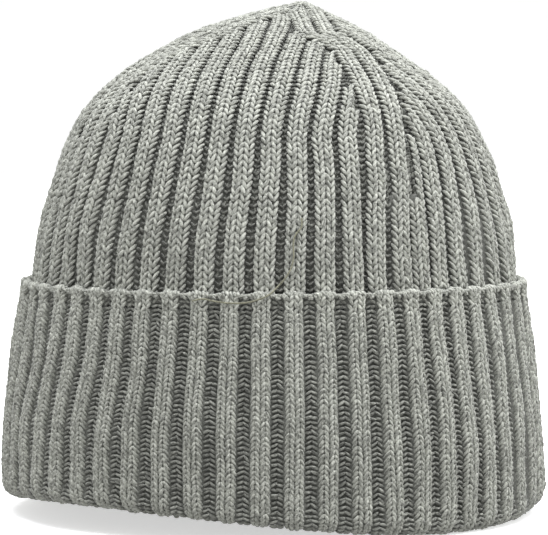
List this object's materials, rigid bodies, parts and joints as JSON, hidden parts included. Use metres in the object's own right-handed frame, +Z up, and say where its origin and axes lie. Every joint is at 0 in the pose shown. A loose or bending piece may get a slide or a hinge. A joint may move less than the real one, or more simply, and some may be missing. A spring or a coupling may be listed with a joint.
{
  "type": "knit beanie",
  "caption": "Rib-knit cuffed beanie with a four-gore crown, a turned-up cuff that can be lowered, and an inside care label.",
  "frame": {"origin": "centre of the bottom, on the plane that the fold rests on", "axes": "+Z up to the peak, -Y towards the front seam of the crown, +Y towards the back seam"},
  "size_m": [0.206, 0.206, 0.1926],
  "materials": {
    "rib_knit": "soft grey melange yarn, 2x2 rib",
    "seam_yarn": "grey linking yarn",
    "label_cloth": "off-white woven satin, blank",
    "loose_thread": "thin olive polyester thread"
  },
  "bodies": {
    "hat_body": {"head_band": "rib_knit", "crown_gore_front_left": "rib_knit", "crown_gore_front_right": "rib_knit", "crown_gore_back_left": "rib_knit", "crown_gore_back_right": "rib_knit", "crown_seam_front": "seam_yarn", "crown_seam_right": "seam_yarn", "crown_seam_back": "seam_yarn", "crown_seam_left": "seam_yarn", "back_seam_band": "seam_yarn", "crown_tie_off": "seam_yarn", "label_stitching": "seam_yarn", "loose_thread": "loose_thread"},
    "fold": {"bottom_fold": "rib_knit", "cuff_turn_up": "rib_knit", "back_seam_cuff": "seam_yarn"},
    "cuff_edge": {"cuff_welt_edge": "rib_knit"},
    "label": {"care_label": "label_cloth"}
  },
  "joints": [
    {"name": "fold_lower", "type": "slide", "parent": "hat_body", "child": "fold", "axis": [0, 0, -1], "range_m": [0, 0.022], "deforming": ["cuff_turn_up", "back_seam_cuff"]},
    {"name": "cuff_edge_lower", "type": "slide", "parent": "hat_body", "child": "cuff_edge", "axis": [0, 0, -1], "range_m": [0, 0.044]},
    {"name": "label_flap", "type": "hinge", "parent": "hat_body", "child": "label", "pos_m": [0, 0.0835, 0.0734], "axis": [-1, 0, 0], "range_deg": [0, 75]}
  ],
  "couplings": [
    {"joint": "cuff_edge_lower", "follows": "fold_lower", "ratio": 2}
  ]
}
